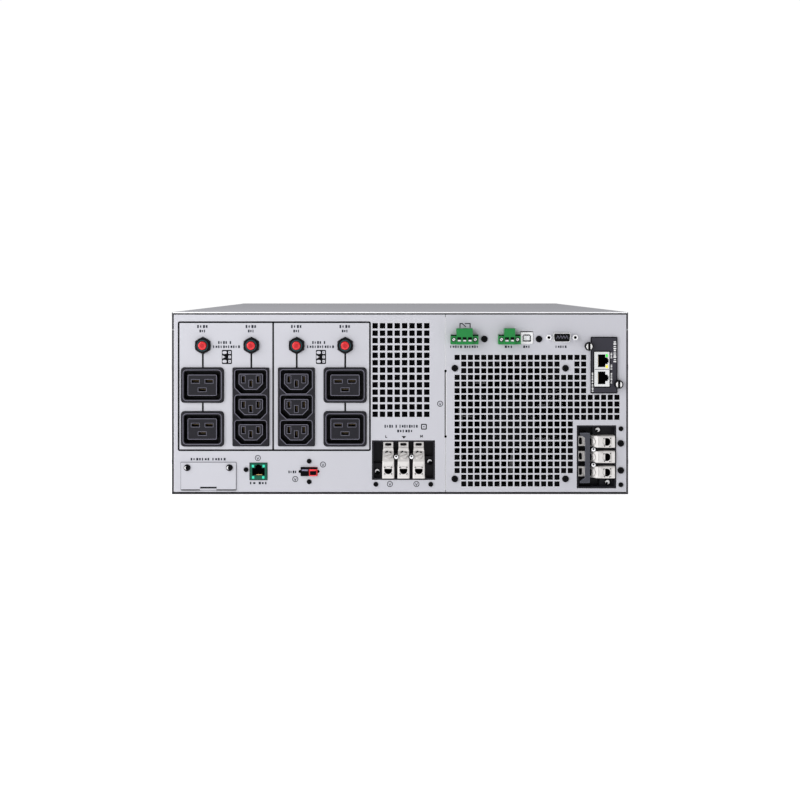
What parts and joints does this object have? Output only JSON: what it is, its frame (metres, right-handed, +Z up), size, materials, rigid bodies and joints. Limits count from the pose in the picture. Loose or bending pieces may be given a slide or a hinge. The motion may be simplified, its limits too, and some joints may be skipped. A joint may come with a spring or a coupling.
{
  "type": "rackmount uninterruptible power supply",
  "caption": "Flat rack-mount power supply case with outlets, breakers, terminal blocks, fan grille and ports at the rear, and battery drawers at the front.",
  "frame": {"origin": "middle of the chassis's bottom face", "axes": "+Z up, +X to the right as seen from the rear, -Y out of the rear panel with the outlets, +Y out of the front with the battery drawers"},
  "size_m": [0.4354, 0.6927, 0.173],
  "materials": {
    "case_paint": "fine satin powder coat",
    "plated_steel": "zinc plated sheet",
    "case_screw_steel": "satin plated",
    "black_moulding": "moulded, slight sheen",
    "contact_brass": "stamped",
    "breaker_red": "moulded, glossy",
    "green_moulding": "moulded, half gloss",
    "red_moulding": "moulded, half gloss",
    "black_screw_steel": "black oxide",
    "nickel_lug": "bright nickel, tumbled",
    "terminal_screw_steel": "zinc plated",
    "bar_moulding": "moulded, matt",
    "circuit_board": "solder resist",
    "shell_steel": "tin plated",
    "port_white": "moulded",
    "port_dark": "moulded",
    "card_face_paint": "satin paint",
    "thumbscrew_steel": "turned, nickel plated",
    "fan_black": "moulded",
    "heatsink_aluminium": "extruded",
    "capacitor_sleeve": "shrink sleeve",
    "choke_winding": "enamelled copper wire",
    "front_moulding": "fine textured moulding",
    "display_cover": "clear hard cover over a dark display",
    "key_plastic": "moulded",
    "battery_case": "moulded"
  },
  "bodies": {
    "case": {"chassis_base": "case_paint", "top_cover": "case_paint", "rear_panel_left": "case_paint", "rear_panel_right": "case_paint", "battery_port_cover": "case_paint", "joint_strip": "plated_steel", "battery_bay": "plated_steel", "case_screws": "case_screw_steel", "c19_outlets": "black_moulding", "c13_strips": "black_moulding", "breaker_bodies": "black_moulding", "breaker_nuts": "black_moulding", "battery_port_connector": "black_moulding", "output_terminal_block": "black_moulding", "input_terminal_block": "black_moulding", "module_plug_black": "black_moulding", "outlet_contacts": "contact_brass", "env_jack": "green_moulding", "header_sockets": "green_moulding", "module_plug_red": "red_moulding", "panel_screws": "black_screw_steel", "terminal_lugs": "nickel_lug", "terminal_screws": "terminal_screw_steel", "input_clamp_bar": "bar_moulding", "interface_board": "circuit_board", "power_board": "circuit_board", "display_board": "circuit_board", "usb_shell": "shell_steel", "serial_shell": "shell_steel", "usb_tongue": "port_white", "serial_insert": "port_dark", "fan_frame": "fan_black", "heatsinks": "heatsink_aluminium", "bus_capacitors": "capacitor_sleeve", "chokes": "choke_winding", "control_bezel": "front_moulding", "display_window": "display_cover"},
    "fan": {"fan_rotor": "fan_black"},
    "breaker_1": {"breaker_button_1": "breaker_red"},
    "breaker_2": {"breaker_button_2": "breaker_red"},
    "breaker_3": {"breaker_button_3": "breaker_red"},
    "breaker_4": {"breaker_button_4": "breaker_red"},
    "drawer_left": {"drawer_tray_left": "plated_steel", "drawer_front_left": "front_moulding", "battery_blocks_left": "battery_case", "drawer_thumbscrews_left": "thumbscrew_steel"},
    "drawer_right": {"drawer_tray_right": "plated_steel", "drawer_front_right": "front_moulding", "battery_blocks_right": "battery_case", "drawer_thumbscrews_right": "thumbscrew_steel"},
    "power_key": {"power_button": "key_plastic"},
    "up_key": {"menu_button_up": "key_plastic"},
    "down_key": {"menu_button_down": "key_plastic"},
    "enter_key": {"menu_button_enter": "key_plastic"},
    "network_card": {"card_plate": "card_face_paint", "card_jacks": "shell_steel", "card_board": "circuit_board", "card_thumbscrews": "thumbscrew_steel"},
    "relay_connector": {"relay_plug": "green_moulding"},
    "epo_connector": {"epo_plug": "green_moulding"}
  },
  "joints": [
    {"name": "fan_spin", "type": "hinge", "parent": "case", "child": "fan", "pos_m": [0.1045, -0.32, 0.0671], "axis": [0, 1, 0], "continuous": true},
    {"name": "breaker_1_trip", "type": "slide", "parent": "case", "child": "breaker_1", "axis": [0, -1, 0], "range_m": [0, 0.0045]},
    {"name": "breaker_2_trip", "type": "slide", "parent": "case", "child": "breaker_2", "axis": [0, -1, 0], "range_m": [0, 0.0045]},
    {"name": "breaker_3_trip", "type": "slide", "parent": "case", "child": "breaker_3", "axis": [0, -1, 0], "range_m": [0, 0.0045]},
    {"name": "breaker_4_trip", "type": "slide", "parent": "case", "child": "breaker_4", "axis": [0, -1, 0], "range_m": [0, 0.0045]},
    {"name": "drawer_left_slide", "type": "slide", "parent": "case", "child": "drawer_left", "axis": [0, 1, 0], "range_m": [0, 0.3]},
    {"name": "drawer_right_slide", "type": "slide", "parent": "case", "child": "drawer_right", "axis": [0, 1, 0], "range_m": [0, 0.3]},
    {"name": "power_key_press", "type": "slide", "parent": "case", "child": "power_key", "axis": [0, -1, 0], "range_m": [0, 0.0018], "stiffness_N_per_m": 400},
    {"name": "up_key_press", "type": "slide", "parent": "case", "child": "up_key", "axis": [0, -1, 0], "range_m": [0, 0.0018], "stiffness_N_per_m": 400},
    {"name": "down_key_press", "type": "slide", "parent": "case", "child": "down_key", "axis": [0, -1, 0], "range_m": [0, 0.0018], "stiffness_N_per_m": 400},
    {"name": "enter_key_press", "type": "slide", "parent": "case", "child": "enter_key", "axis": [0, -1, 0], "range_m": [0, 0.0018], "stiffness_N_per_m": 400},
    {"name": "network_card_slide", "type": "slide", "parent": "case", "child": "network_card", "axis": [0, -1, 0], "range_m": [0, 0.14]},
    {"name": "relay_connector_pull", "type": "slide", "parent": "case", "child": "relay_connector", "axis": [0, -1, 0], "range_m": [0, 0.015]},
    {"name": "epo_connector_pull", "type": "slide", "parent": "case", "child": "epo_connector", "axis": [0, -1, 0], "range_m": [0, 0.015]}
  ]
}
